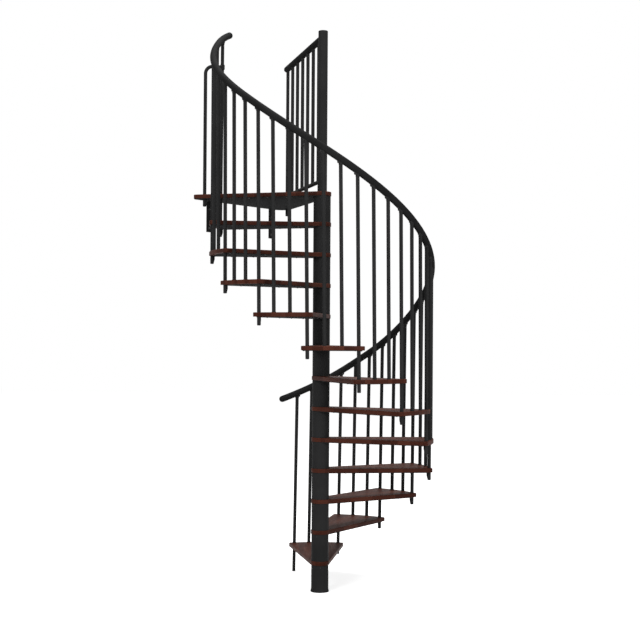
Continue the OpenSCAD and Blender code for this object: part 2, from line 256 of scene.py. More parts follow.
timber = {                      # mahogany-stained beech, edge-glued from staves, lacquered
    "staveWidth": 0.034,
    "staveLength": 0.46,
    "ringGap": 0.0034,          # from one year ring to the next
    "ringWander": 0.035,        # how far the rings swing along a stave
    "ringSide": 0.30,           # how far their middle may lie beside a stave
    "ringBelow": (0.03, 0.12),  # least depth of their middle, and what may come on top
    "ringWaver": 5.0,
    "fine": (6.0, 90.0, 4.0, 0.6),          # streaks: scale along and across, detail, roughness
    "fibre": (14.0, 520.0, 3.0, 0.65),
    "pores": (60.0, 1500.0, 2.0, 0.5),
    "ringShare": 0.34,          # of the figure; fibre makes the rest
    "toneSpread": 0.46,         # from the darkest stave to the lightest
    "poreDark": 0.55,
    "poreDull": 0.12,
    "sideLine": (0.492, 0.55),  # glue lines beside a stave and at its ends: where they start, how dark
    "endLine": (0.499, 0.50),
    "thinStain": 0.45,
    "dark": (0.0160, 0.0040, 0.0023),
    "middle": (0.0345, 0.0092, 0.0053),
    "light": (0.0600, 0.0185, 0.0108),
    "arris": (0.075, 0.0250, 0.0140),
    "stops": ((0.18, "dark"), (0.52, "middle"), (0.88, "light")),
    "roughness": (0.50, 0.62),
    "specular": 0.035,
    "coat": 0.012,
    "coatRoughness": 0.30,
    "bumpStrength": 0.5,
    "bumpDepth": 0.00012,
}


def lacqueredTimber():
    material, tree, shader = shaderTree("stainedTimber")
    place = addNode(tree, "ShaderNodeAttribute", attribute_name="grainPlace").outputs["Vector"]
    seed = addNode(tree, "ShaderNodeAttribute", attribute_name="boardSeed").outputs["Fac"]
    arris = addNode(tree, "ShaderNodeAttribute", attribute_name="arris").outputs["Fac"]
    split = addNode(tree, "ShaderNodeSeparateXYZ")
    tree.links.new(place, split.inputs[0])
    along, across, depth = split.outputs

    def plus(a, b):
        return math(tree, "ADD", a, b)

    def minus(a, b):
        return math(tree, "SUBTRACT", a, b)

    def times(a, b):
        return math(tree, "MULTIPLY", a, b)

    def joined(*values):
        node = addNode(tree, "ShaderNodeCombineXYZ")
        for i, value in enumerate(values):
            feed(tree, value, node.inputs[i])
        return node.outputs[0]

    def dice(*values):
        node = addNode(tree, "ShaderNodeTexWhiteNoise", noise_dimensions="3D")
        tree.links.new(joined(*values), node.inputs[0])
        return node.outputs["Value"], node.outputs["Color"]

    def streaks(name):          # noise drawn out along the grain
        slow, fast, detail, rough = timber[name]
        stretched = joined(times(along, slow), times(across, fast), times(depth, fast))
        return noiseOn(tree, stretched, 1.0, detail, rough)

    def glueLine(staves, start, strength):
        edge = math(tree, "ABSOLUTE", minus(math(tree, "FRACT", staves), 0.5))
        return fromTo(tree, edge, start, 0.5, 0.0, strength)

    # which stave a point is in
    acrossStaves = math(tree, "DIVIDE", across, timber["staveWidth"])
    lane = math(tree, "FLOOR", acrossStaves)
    shift, _ = dice(lane, seed, 3.0)
    alongStaves = plus(math(tree, "DIVIDE", along, timber["staveLength"]), shift)
    tone, toss = dice(lane, math(tree, "FLOOR", alongStaves), seed)
    tossed = addNode(tree, "ShaderNodeSeparateColor")
    tree.links.new(toss, tossed.inputs[0])

    # year rings round an axis that lies beside each stave
    wander = noiseOn(tree, joined(times(along, 2.2), plus(across, tone), times(tone, 40.0)), 3.0, 2.0, 0.5)
    ringY = plus(across, times(minus(wander, 0.5), timber["ringWander"]))
    ringY = plus(ringY, times(minus(tossed.outputs[0], 0.5), timber["ringSide"]))
    least, more = timber["ringBelow"]
    ringZ = plus(depth, plus(least, times(tossed.outputs[1], more)))
    far = math(tree, "SQRT", plus(times(ringY, ringY), times(ringZ, ringZ)))
    fine, fibre = streaks("fine"), streaks("fibre")
    rings = math(tree, "SINE", plus(times(far, 2 * pi / timber["ringGap"]), times(fine, timber["ringWaver"])))
    rings = fromTo(tree, rings, -1.0, 1.0, 0.0, 1.0)
    pores = fromTo(tree, streaks("pores"), 0.60, 0.70, 0.0, 1.0)

    figure = plus(times(rings, timber["ringShare"]), times(fibre, 1 - timber["ringShare"]))
    figure = plus(figure, times(minus(tone, 0.5), timber["toneSpread"]))
    ramp = addNode(tree, "ShaderNodeValToRGB")
    ramp.color_ramp.elements.new(0.5)
    for stop, (position, key) in zip(ramp.color_ramp.elements, timber["stops"]):
        stop.position = position
        stop.color = (*timber[key], 1)
    tree.links.new(figure, ramp.inputs[0])
    colour = mixColour(tree, times(pores, timber["poreDark"]), ramp.outputs[0], timber["dark"])
    line = math(tree, "MAXIMUM", glueLine(acrossStaves, *timber["sideLine"]),
                glueLine(alongStaves, *timber["endLine"]))
    colour = mixColour(tree, line, colour, timber["dark"])
    # the stain is rubbed thinner on the arrises
    thin = times(times(arris, timber["thinStain"]), fromTo(tree, fine, *usual, 0.3, 1.0))
    colour = mixColour(tree, thin, colour, timber["arris"])
    tree.links.new(colour, shader.inputs["Base Color"])
    dull = plus(fromTo(tree, fine, *usual, *timber["roughness"]), times(pores, timber["poreDull"]))
    tree.links.new(dull, shader.inputs["Roughness"])
    shader.inputs["Specular IOR Level"].default_value = timber["specular"]
    shader.inputs["Coat Weight"].default_value = timber["coat"]
    shader.inputs["Coat Roughness"].default_value = timber["coatRoughness"]
    addBump(tree, shader, minus(times(fibre, 0.5), plus(times(pores, 0.6), line)),
            timber["bumpStrength"], timber["bumpDepth"])
    return material


steelFinish = powderCoat("charcoalPowderCoat", **powder["tube"])
# a darker copy of the coat for the rails: painted shade
railDarkenedCoat = powderCoat("handledPowderCoat", **powder["railDarkened"])
# a lighter copy of the coat for the plates under the treads: painted light
plateLightenedCoat = powderCoat("flatPlateCoat", **powder["plate"])
timberFinish = lacqueredTimber()
screwFinish = blackZinc()
plugBlack = plugPlastic()
for name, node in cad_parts.items():
    wooden = name == "landing_board" or name[:7] in ("tread_0", "tread_1")
    # the plates get the lighter copy of the coat, painted light in the shade under the treads
    finish = timberFinish if wooden else plateLightenedCoat if name.endswith(("_plate", "_plates")) else steelFinish
    for materialSlot in node.material_slots:
        materialSlot.material = finish
print("finishes made")


stock = {                       # round bars and tubes, drawn as lines with a radius at every point
    "sides": 32,
    "tip": 0.0002,              # radius of the point that closes an end
    "nip": 0.0001,              # from that point to the full radius
    "sunk": 0.0060,             # an end inside a rail stops this far under the rail's middle line
    "crease": 32.0,             # edges that turn by more degrees stay sharp
    "domeAngles": (15, 30, 45, 58, 70, 80, 87),
}


def newObject(name, mesh):
    obj = bpy.data.objects.new(name, mesh)
    bpy.context.scene.collection.objects.link(obj)
    return obj


def smoothMesh(mesh, angle):
    work = bmesh.new()
    work.from_mesh(mesh)
    if work.calc_volume(signed=True) < 0:
        bmesh.ops.reverse_faces(work, faces=work.faces[:])
    for face in work.faces:
        face.smooth = True
    for edge in work.edges:
        edge.smooth = not (edge.is_manifold and edge.calc_face_angle() > radians(angle))
    work.to_mesh(mesh)
    work.free()


def meshFrom(work, name):
    mesh = bpy.data.meshes.new(name)
    work.to_mesh(mesh)
    work.free()
    return mesh


def wallBetween(work, a, b):    # faces between two rings with the same number of vertices
    for i in range(len(a)):
        j = (i + 1) % len(a)
        work.faces.new((a[i], a[j], b[j], b[i]))


def geometryTree(name, label, kind):
    tree = bpy.data.node_groups.new(name, "GeometryNodeTree")
    tree.is_modifier = True
    tree.interface.new_socket("Geometry", in_out="OUTPUT", socket_type="NodeSocketGeometry")
    for title, sort in (("Geometry", "NodeSocketGeometry"), (label, kind), ("Finish", "NodeSocketMaterial")):
        tree.interface.new_socket(title, in_out="INPUT", socket_type=sort)
    return tree, tree.nodes.new("NodeGroupInput").outputs


def paintedResult(tree, given, source):
    real = tree.nodes.new("GeometryNodeRealizeInstances")
    paint = tree.nodes.new("GeometryNodeSetMaterial")
    result = tree.nodes.new("NodeGroupOutput")
    tree.links.new(source, real.inputs["Geometry"])
    tree.links.new(real.outputs["Geometry"], paint.inputs["Geometry"])
    tree.links.new(given["Finish"], paint.inputs["Material"])
    tree.links.new(paint.outputs["Geometry"], result.inputs["Geometry"])


def roundStockTree():
    tree, given = geometryTree("roundStock", "Sides", "NodeSocketInt")
    lines = tree.nodes.new("GeometryNodeMeshToCurve")
    radius = addNode(tree, "GeometryNodeInputNamedAttribute", data_type="FLOAT")
    radius.inputs["Name"].default_value = "stockRadius"
    circle = tree.nodes.new("GeometryNodeCurvePrimitiveCircle")
    circle.inputs["Radius"].default_value = 1.0
    sweep = tree.nodes.new("GeometryNodeCurveToMesh")
    sweep.inputs["Fill Caps"].default_value = True
    tree.links.new(given["Geometry"], lines.inputs["Mesh"])
    tree.links.new(given["Sides"], circle.inputs["Resolution"])
    tree.links.new(lines.outputs["Curve"], sweep.inputs["Curve"])
    tree.links.new(circle.outputs["Curve"], sweep.inputs["Profile Curve"])
    tree.links.new(radius.outputs["Attribute"], sweep.inputs["Scale"])
    paintedResult(tree, given, sweep.outputs["Mesh"])
    return tree


def scatterTree():              # one part set on many places, each with its own axes
    tree, given = geometryTree("setOnPlaces", "Part", "NodeSocketObject")
    part = tree.nodes.new("GeometryNodeObjectInfo")
    part.transform_space = "ORIGINAL"
    aimed = addNode(tree, "FunctionNodeAxesToRotation", primary_axis="Z", secondary_axis="X")
    for label, title in (("partUp", "Primary Axis"), ("partAlong", "Secondary Axis")):
        axis = addNode(tree, "GeometryNodeInputNamedAttribute", data_type="FLOAT_VECTOR")
        axis.inputs["Name"].default_value = label
        tree.links.new(axis.outputs["Attribute"], aimed.inputs[title])
    spread = tree.nodes.new("GeometryNodeInstanceOnPoints")
    tree.links.new(given["Part"], part.inputs["Object"])
    tree.links.new(given["Geometry"], spread.inputs["Points"])
    tree.links.new(part.outputs["Geometry"], spread.inputs["Instance"])
    tree.links.new(aimed.outputs[0], spread.inputs["Rotation"])
    paintedResult(tree, given, spread.outputs["Instances"])
    return tree


roundStockNodes = roundStockTree()
scatterNodes = scatterTree()


def runTree(obj, tree, values, angle):
    modifier = obj.modifiers.new("made", "NODES")
    modifier.node_group = tree
    for item in tree.interface.items_tree:
        if item.in_out == "INPUT" and item.name in values:
            modifier[item.identifier] = values[item.name]
    graph = bpy.context.evaluated_depsgraph_get()
    made = bpy.data.meshes.new_from_object(obj.evaluated_get(graph))
    made.name = obj.name
    obj.modifiers.clear()
    obj.data = made
    smoothMesh(made, angle)
    return obj


def roundStock(name, lines, finish=steelFinish, sides=stock["sides"]):
    points, edges, radii = [], [], []
    for line in lines:
        start = len(points)
        for point, radius in line:
            points.append(point)
            radii.append(radius)
        edges += [(i, i + 1) for i in range(start, len(points) - 1)]
    mesh = bpy.data.meshes.new(name)
    mesh.from_pydata(points, edges, [])
    mesh.attributes.new("stockRadius", "FLOAT", "POINT").data.foreach_set("value", radii)
    return runTree(newObject(name, mesh), roundStockNodes, {"Sides": sides, "Finish": finish}, stock["crease"])


def setOnPlaces(name, part, places, finish, angle=stock["crease"]):     # places: (point, up, along)
    mesh = bpy.data.meshes.new(name)
    mesh.from_pydata([place[0] for place in places], [], [])
    for label, index in (("partUp", 1), ("partAlong", 2)):
        numbers = [number for place in places for number in place[index]]
        mesh.attributes.new(label, "FLOAT_VECTOR", "POINT").data.foreach_set("vector", numbers)
    obj = runTree(newObject(name, mesh), scatterNodes, {"Part": part, "Finish": finish}, angle)
    bpy.data.objects.remove(part)
    return obj


def turned(name, profile, sides, finish=steelFinish, angle=stock["crease"]):    # profile: (radius, height)
    work = bmesh.new()
    rings = [[work.verts.new((r * cos(2 * pi * i / sides), r * sin(2 * pi * i / sides), z))
              for i in range(sides)] for r, z in profile]
    for a, b in zip(rings, rings[1:] + rings[:1]):
        wallBetween(work, a, b)
    mesh = meshFrom(work, name)
    mesh.materials.append(finish)
    smoothMesh(mesh, angle)
    return newObject(name, mesh)


def upright(p, profile):        # a line for roundStock from (height, radius) pairs
    return [(Vector((p.x, p.y, z)), r) for z, r in profile]


def sunkEnd(z, r):              # upper end inside a rail whose middle line is at z
    return [(z - stock["sunk"] - stock["tip"], r), (z - stock["sunk"], stock["tip"])]


def domedEnd(point, outward, r):
    return [(point + outward * r * sin(radians(a)), r * cos(radians(a))) for a in stock["domeAngles"]]


def finishPiece(obj, slotName, *nodes):
    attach(obj, "root")
    if nodes:
        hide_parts(*nodes)
    return obj


column = {"wall": 0.003, "chamfer": 0.0009, "sides": 96, "screwDown": 0.010, "flangeRadius": 0.0645,
          "flangeThick": 0.008, "flangeHole": 0.030, "flangeEdge": 0.0008,
          "skirtHeight": 0.016, "skirtSteps": 8, "newelHeight": 1.129, "newelWall": 0.004, "newelEdge": 0.0006}
cap = {"thick": 0.008, "gap": 0.0001, "edge": 0.0008, "side": 0.0030, "shoulder": (0.0045, 0.0038), "steps": 8,
       "crown": ((0.018, 0.0005), (0.008, 0.0)), "centre": 0.0003, "crease": 40}


def tubeProfile(z0, z1):
    r, cut = stair["columnRadius"], column["chamfer"]
    inner = r - column["wall"]
    return [(inner, z0), (r - cut, z0), (r, z0 + cut), (r, z1 - cut), (r - cut, z1), (inner, z1)]


def spacerTubes():
    length = stair["rise"] - slabThick
    part = turned("spacerShape", tubeProfile(0, length), column["sides"])
    places = [(Vector((0, 0, k * stair["rise"])), (0, 0, 1), (1, 0, 0)) for k in range(1, stair["treads"] + 1)]
    finishPiece(setOnPlaces("columnTubes", part, places, steelFinish), "steel", "column_spacers")
    finishPiece(turned("footTube", tubeProfile(column["flangeThick"], length), column["sides"]), "steel")


def footFlange():
    r, t, edge, hole = (column[key] for key in ("flangeRadius", "flangeThick", "flangeEdge", "flangeHole"))
    tube, skirt, steps = stair["columnRadius"], column["skirtHeight"], column["skirtSteps"]
    profile = [(hole, 0.0), (r - edge, 0.0), (r, edge), (r, t - 0.0010), (r - 0.0006, t)]
    for i in range(1, steps + 1):           # hollow weld that runs up to the tube
        u = i / steps
        profile.append((tube + 0.0001 + (r - edge - tube) * (1 - u) ** 2, t + skirt * u))
    profile += [(tube - 0.0015, t + skirt), (tube - 0.0015, t + 0.001), (hole, t + 0.001)]
    finishPiece(turned("footFlange", profile, column["sides"], steelFinish, 24), "steel", "floor_flange")


def newelPost():
    top = landingTop + column["newelHeight"]
    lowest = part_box("centre_pole")[0].z
    r, edge = stair["poleRadius"], column["newelEdge"]
    inner = r - column["newelWall"]
    profile = [(inner, lowest), (r, lowest), (r, top - edge), (r - edge, top), (inner, top)]
    finishPiece(turned("newelPost", profile, column["sides"]), "steel", "centre_pole")
    foot, wide, shoulder, crown = top + cap["gap"], r + cap["gap"], top + cap["side"], top + cap["thick"]
    inward, upward = cap["shoulder"]
    dome = [(cap["centre"], foot), (r - cap["edge"], foot), (wide, foot + cap["edge"]), (wide, shoulder)]
    for i in range(1, cap["steps"] + 1):
        a = radians(90) * i / cap["steps"]
        dome.append((wide - inward * (1 - cos(a)), shoulder + upward * sin(a)))
    dome += [(radius, crown - down) for radius, down in cap["crown"]] + [(cap["centre"], crown)]
    finishPiece(turned("newelCap", dome, column["sides"], plugBlack, cap["crease"]), "steel", "newel_cap")


spacerTubes()
footFlange()
newelPost()
print("column made")


board = {
    "edgeMargin": 0.020,
    "cornerMargin": 0.040,
    "cornerRadius": 0.016,
    "topRound": 0.0035,
    "bottomRound": 0.0015,
    "wear": (0.0, 0.6, 1.0, 1.0, 0.6, 0.0),     # of the stain, from the side over the round to the top
    "holeGap": 0.00025,
    "poleGap": 0.0003,
    "countersink": 0.0008,
    "crease": 40,
}
landing = {"frontRadius": 0.919, "frontTurn": -4.2, "frontCorner": 0.030,
           "backRadius": 0.933, "backTurn": 52.7, "backCorner": 0.075, "arcSteps": (40, 24, 16)}
# heights of the fence's rails at its end post, and by how much they fall from the newel to there
fence = {"turn": 55.1, "firstRadius": 0.100, "endRadius": 0.915, "count": 6, "overhang": 0.028,
         "top": (1.058, 0.032), "bottom": (0.072, 0.010), "bottomRadius": 0.014,
         "bead": (0.46, 0.0060)}    # over the bottom rail's middle: share of its radius, and more
guard = {"radius": 0.869, "turn": -4.2, "height": 0.929, "bend": 0.056, "bendSteps": 16,
         "collar": 0.005, "collarHeight": 0.034, "collarEdge": 0.0012, "collarSides": 40}


def arc(c, r, a0, a1, steps):
    return [(c[0] + r * cos(a0 + (a1 - a0) * i / steps), c[1] + r * sin(a0 + (a1 - a0) * i / steps))
            for i in range(steps + 1)]


def tangentDirection(p, q):     # from a circle's middle to where the outer tangent of both touches it
    dx, dy = q[0][0] - p[0][0], q[0][1] - p[0][1]
    return atan2(dy, dx) - acos((p[1] - q[1]) / hypot(dx, dy))


def after(a, b):                # angle b, within one turn from a
    while b < a:
        b += 2 * pi
    while b > a + 2 * pi:
        b -= 2 * pi
    return b


def treadOutline(inset):        # along +X
    r = board["cornerRadius"]
    c = stair["ringRadius"] + board["edgeMargin"] - r
    half = radians(stair["turn"] - stair["lean"]) / 2 + asin((board["cornerMargin"] - r) / c)
    r -= inset
    hub = ((0, 0), hubRadius - inset)
    left = ((c * cos(half), c * sin(half)), r)
    right = ((c * cos(half), -c * sin(half)), r)
    into = tangentDirection(hub, right)
    out = after(0, tangentDirection(left, hub))
    return (arc((0, 0), hub[1], out, into + 2 * pi, 56) + arc(right[0], r, into, -half, 10)
            + arc((0, 0), c + r, -half, half, 40)[1:-1] + arc(left[0], r, half, out, 10))


def landingCircles(inset):      # round the hub, the back corner and the front corner
    back = at(landing["backRadius"], lastAzimuth + landing["backTurn"])
    front = at(landing["frontRadius"], lastAzimuth + landing["frontTurn"])
    return [((0, 0), hubRadius - inset), ((back.x, back.y), landing["backCorner"] - inset),
            ((front.x, front.y), landing["frontCorner"] - inset)]


def landingOutline(inset):
    circles = landingCircles(inset)
    points = []
    for i, circle in enumerate(circles):
        a0 = tangentDirection(circles[i - 1], circle)
        a1 = after(a0, tangentDirection(circle, circles[(i + 1) % 3]))
        points += arc(circle[0], circle[1], a0, a1, landing["arcSteps"][i])
    return points


def boardSide():                # (inset, depth below the top, wear) from the underside's rim to the top's
    thick, topRound, under = stair["boardThick"], board["topRound"], board["bottomRound"]
    steps = [(under, thick, 0.0), (under * 0.3, thick - under * 0.3, 1.0), (0.0, thick - under, 0.0)]
    for i, wear in enumerate(board["wear"]):
        a = radians(90) * i / (len(board["wear"]) - 1)
        steps.append((topRound * (1 - cos(a)), topRound * (1 - sin(a)), wear))
    return steps


def sideRings(outline, top, turn):
    spin = Matrix.Rotation(turn, 3, "Z")
    rings = []
    for inset, down, wear in boardSide():
        corners = [spin @ Vector((x, y, 0)) for x, y in outline(inset)]
        rings.append([(p.x, p.y, top - down, wear) for p in corners])
    return rings


def holeRings(upper, lower, r, sides, top):     # from below up to a small countersink
    thick, sink = stair["boardThick"], board["countersink"]
    rings = []
    for grow, down in ((0.0, thick), (0.0, sink), (sink, 0.0)):
        centre = upper.lerp(lower, down / thick)
        angles = [-2 * pi * i / sides for i in range(sides)]
        rings.append([(centre.x + (r + grow) * cos(a), centre.y + (r + grow) * sin(a), top - down, 0.0)
                      for a in angles])
    return rings


def boardMesh(name, outline, holes, top, turn, grainTurn, seed):
    shapes = [sideRings(outline, top, turn)] + [holeRings(*hole, top) for hole in holes]
    work = bmesh.new()
    made = [[[work.verts.new(p[:3]) for p in ring] for ring in shape] for shape in shapes]
    for rings in made:
        for a, b in zip(rings, rings[1:]):
            wallBetween(work, a, b)
    for level, flip in ((0, True), (-1, False)):        # underside and top
        rims = [rings[level] for rings in made]
        flat = [vertex for rim in rims for vertex in rim]
        for corners in tessellate_polygon([[v.co for v in rim] for rim in rims]):
            face = [flat[i] for i in corners]
            a, b, c = (v.co for v in face)
            if ((b - a).cross(c - a).z > 0) == flip:
                face.reverse()
            work.faces.new(face)
    mesh = meshFrom(work, name)
    wear = [p[3] for shape in shapes for ring in shape for p in ring]
    mesh.attributes.new("arris", "FLOAT", "POINT").data.foreach_set("value", wear)
    back = Matrix.Rotation(-grainTurn, 3, "Z")
    places = []
    for vertex in mesh.vertices:
        local = back @ vertex.co
        places += [local.x, local.y, vertex.co.z - top]
    mesh.attributes.new("grainPlace", "FLOAT_VECTOR", "POINT").data.foreach_set("vector", places)
    mesh.attributes.new("boardSeed", "FLOAT", "POINT").data.foreach_set("value", [seed] * len(mesh.vertices))
    mesh.materials.append(timberFinish)
    smoothMesh(mesh, board["crease"])
    return newObject(name, mesh)


def fencePoint(radius, z=0.0):
    return at(radius, lastAzimuth + fence["turn"], z)


def guardPoint():
    return at(guard["radius"], lastAzimuth + guard["turn"])


def holeFor(upper, lower=None):
    return upper, lower or upper, stair["balusterRadius"] + board["holeGap"], stock["sides"]


def balusterHole(n, top):
    return holeFor(balusterAt(n, top), balusterAt(n, top - stair["boardThick"]))


def allBoards():
    spaces, axis = stair["spaces"], Vector((0.0, 0.0, 0.0))
    poleHole = (axis, axis, stair["poleRadius"] + board["poleGap"], 48)
    for k in range(1, stair["treads"] + 1):
        top, turn = k * stair["rise"], radians(90 - treadAzimuth(k))
        holes = [poleHole] + [balusterHole(n, top) for n in ((k - 1) * spaces, k * spaces)]
        piece = boardMesh("treadBoard_%02d" % k, treadOutline, holes, top, turn, turn, 1.37 * k + 0.5)
        finishPiece(piece, "timber", "tread_%02d" % k)
    back, front = (Vector(circle[0]) for circle in landingCircles(0.0)[1:])
    middle = (front + back) / 2
    holes = [poleHole, balusterHole(lastNumber, landingTop), holeFor(fencePoint(fence["endRadius"])),
             holeFor(guardPoint())]
    piece = boardMesh("landingBoard", landingOutline, holes, landingTop, 0.0, atan2(middle.y, middle.x), 31.7)
    finishPiece(piece, "timber", "landing_board")


allBoards()
print("boards made")


baluster = {
    "plugLength": 0.012,
    "plugDome": ((0.0004, 0.62), (0.0016, 0.86), (0.0036, 0.97), (0.0060, 1.0)),    # height, share of radius
    "grooveDeep": 0.0006,
    "groove": (0.0002, 0.0010, 0.0012),         # heights above the plug's end
    "squareEdge": 0.0008,
    "floorGap": 0.0002,
    "ringExtra": 0.0016,
    "ringHeight": 0.0040,
    "cupExtra": 0.0013,
    "cupLength": 0.010,
    "cupEdge": 0.0010,
    "railSlope": 32,
}


def roundedFoot(z, r):          # moulded plug with a domed end, pressed in the tube's lower end
    dome = [(z + up, r * share) for up, share in baluster["plugDome"]]
    end, deep = z + baluster["plugLength"], r - baluster["grooveDeep"]
    first, last, back = (end + up for up in baluster["groove"])
    return [(z, stock["tip"])] + dome + [(end, r), (first, deep), (last, deep), (back, r)]


def squareFoot(z, r):
    edge = baluster["squareEdge"]
    return [(z, stock["tip"]), (z + stock["nip"], r - edge), (z + stock["nip"] + edge, r)]


def ringFoot(z, r):             # ring round a baluster that stands on a tread
    wide, high = r + baluster["ringExtra"], z + baluster["ringHeight"]
    return [(z, stock["tip"]), (z + stock["nip"], wide), (high, wide), (high + 0.0008, r)]


def railCup(z, r):              # widening where the baluster meets the handrail
    under = z - stair["railRadius"] / cos(radians(baluster["railSlope"])) - 0.001
    wide, start = r + baluster["cupExtra"], under - baluster["cupLength"]
    return [(start - baluster["cupEdge"], r), (start, wide), (under, wide)] + sunkEnd(z, wide)


def balusterLine(n):
    r, rise = stair["balusterRadius"], stair["rise"]
    k, place = divmod(n, stair["spaces"])
    if n == 0:
        lower = squareFoot(baluster["floorGap"], r)
    elif place == 0:
        lower = roundedFoot(k * rise - slabThick - stair["balusterDrop"], r)
    else:
        lower = ringFoot((k + 1) * rise, r)
    return [(balusterAt(n, z), radius) for z, radius in lower + railCup(railZ(n), r)]


def allBalusters():
    spaces = stair["spaces"]
    finishPiece(roundStock("startBaluster", [balusterLine(0)]), "steel", "starting_baluster")
    for k in range(1, stair["treads"] + 1):
        numbers = range((k - 1) * spaces + 1, k * spaces + 1)
        piece = roundStock("balusterSet_%02d" % k, [balusterLine(n) for n in numbers])
        finishPiece(piece, "steel", "balusters_%02d" % k)


allBalusters()
print("balusters made")


handrail = {
    "sides": 48,
    "perSpace": 7,              # points of its line in one baluster space
    "seam": 0.00098,
    "seamDepth": 0.0008,
    "saddleLength": 0.022,
    "saddleWidth": 0.019,
    "saddleBack": 0.004,        # from the baluster's axis down the slope
    "saddleDrop": 0.0268,
    "saddleTop": 0.008,         # inside the handrail
    "saddleCut": (0.003, 0.005),
    "saddleRound": 0.0022,
    "screw": (0.0042, 0.0022, 0.0020),          # radius, height, socket
    "screwOut": 0.0165,
}


def allHandrails():
    cuts = (-rail["lead"],) + rail["joints"] + (lastNumber + rail["tail"],)
    r = stair["railRadius"]
    for i, (n0, n1) in enumerate(zip(cuts, cuts[1:])):
        steps = round((n1 - n0) * handrail["perSpace"])
        line = [(railPoint(n0 + (n1 - n0) * j / steps), r) for j in range(steps + 1)]
        for last, n, way in ((0, n0, 1), (-1, n1, -1)):
            p, t = railPoint(n), railTangent(n) * way
            if (i, last) in ((0, 0), (len(cuts) - 2, -1)):
                tip = domedEnd(p, -t, r)
                line = tip[::-1] + line if last == 0 else line + tip
            else:               # small chamfer, which shows as a seam between two lengths
                seam = [(p + t * stock["nip"], stock["tip"]),
                        (p + t * stock["nip"] * 2, r - handrail["seamDepth"]), (p + t * handrail["seam"], r)]
                line = seam + line[1:] if last == 0 else line[:-1] + seam[::-1]
        piece = roundStock("handrailLength_%d" % (i + 1), [line], railDarkenedCoat, handrail["sides"])
        finishPiece(piece, "steel", "handrail_%d" % (i + 1))


def saddleShape():              # wedge under the handrail on the uphill side of a baluster
    length, half, back = handrail["saddleLength"], handrail["saddleWidth"] / 2, handrail["saddleBack"]
    low, high = -handrail["saddleDrop"], -handrail["saddleTop"]
    inward, upward = handrail["saddleCut"]
    side = [(-back, low), (length - inward, low), (length, low + upward), (length, high), (-back, high)]
    work = bmesh.new()
    left = [work.verts.new((x, half, z)) for x, z in side]
    right = [work.verts.new((x, -half, z)) for x, z in side]
    work.faces.new(left)
    work.faces.new(right[::-1])
    wallBetween(work, right, left)
    bmesh.ops.recalc_face_normals(work, faces=work.faces[:])
    bmesh.ops.bevel(work, geom=work.edges[:], offset=handrail["saddleRound"], segments=3, affect="EDGES",
                    profile=0.5)
    return newObject("saddleShape", meshFrom(work, "saddleShape"))


def headShape(name, profile):   # closed shape from (radius, height, whether it is a hexagon) rings
    sides = 24
    work = bmesh.new()
    made = []
    for r, z, hexagonal in profile:
        ring = []
        for i in range(sides):
            a = 2 * pi * i / sides
            reach = r * cos(pi / 6) / cos(a % (pi / 3) - pi / 6) if hexagonal else r
            ring.append(work.verts.new((reach * cos(a), reach * sin(a), z)))
        made.append(ring)
    for a, b in zip(made, made[1:]):
        wallBetween(work, a, b)
    work.faces.new(made[0][::-1])
    work.faces.new(made[-1])
    return newObject(name, meshFrom(work, name))


def screwShape(name, radius, height, socket):
    # domed head with a hexagon socket; its seat is at z = 0 and it looks along +Z
    return headShape(name, [
        (radius, -0.0004, False), (radius, height * 0.35, False), (radius * 0.93, height * 0.72, False),
        (radius * 0.72, height, False), (socket * 1.02, height, True), (socket, height - 0.0002, True),
        (socket * 0.98, height * 0.25, True)])


def railFixings():
    saddles, screws = [], []
    for n in range(0, lastNumber + 1):
        t = railTangent(n)
        level = Vector((t.x, t.y, 0)).normalized()
        p = railPoint(n)
        saddles.append((p, (0, 0, 1), tuple(level)))
        seat = p + level * handrail["screwOut"] - Vector((0, 0, handrail["saddleDrop"]))
        screws.append((seat, (0, 0, -1), tuple(level)))
    finishPiece(setOnPlaces("railSaddles", saddleShape(), saddles, plugBlack), "steel")
    head = screwShape("screwShape", *handrail["screw"])
    finishPiece(setOnPlaces("railScrews", head, screws, screwFinish), "steel")


allHandrails()
railFixings()
print("handrail made")


def onFence(radius, which="top"):
    height, fall = fence[which]
    return fencePoint(radius, landingTop + height + fall * (1 - radius / fence["endRadius"]))


def landingFence():
    r, low, bar = stair["railRadius"], fence["bottomRadius"], stair["balusterRadius"]
    tip, nip, last = stock["tip"], stock["nip"], fence["endRadius"]
    start, end = stair["poleRadius"] - 0.002, last + fence["overhang"]
    outward = (onFence(1.0) - onFence(0.0)).normalized()
    line = [(onFence(start), tip), (onFence(start + nip), r), (onFence(end), r)]
    line += domedEnd(onFence(end), outward, r)
    finishPiece(roundStock("fenceTopRail", [line], railDarkenedCoat, handrail["sides"]), "steel", "fence_top_rail")
    line = [(onFence(radius, "bottom"), size) for radius, size in
            ((start, tip), (start + nip, low), (last - nip, low), (last, tip))]
    finishPiece(roundStock("fenceLowRail", [line]), "steel", "fence_bottom_rail")
    lines = []
    share, more = fence["bead"]
    for i in range(fence["count"]):
        radius = fence["firstRadius"] + i * (last - fence["firstRadius"]) / fence["count"]
        z, top = onFence(radius, "bottom").z, onFence(radius).z
        bead = z + low * share + more
        profile = [(z, tip), (z + nip, bar), (bead, bar), (bead + 0.0002, bar), (top - r - 0.0010, bar)]
        lines.append(upright(fencePoint(radius), profile + sunkEnd(top, bar)))
    finishPiece(roundStock("fenceBars", lines), "steel", "fence_balusters")
    foot = landingTop - slabThick - stair["balusterDrop"]
    post = upright(fencePoint(last), roundedFoot(foot, bar) + sunkEnd(onFence(last).z, bar))
    finishPiece(roundStock("fenceEndPost", [post]), "steel", "fence_end_post")


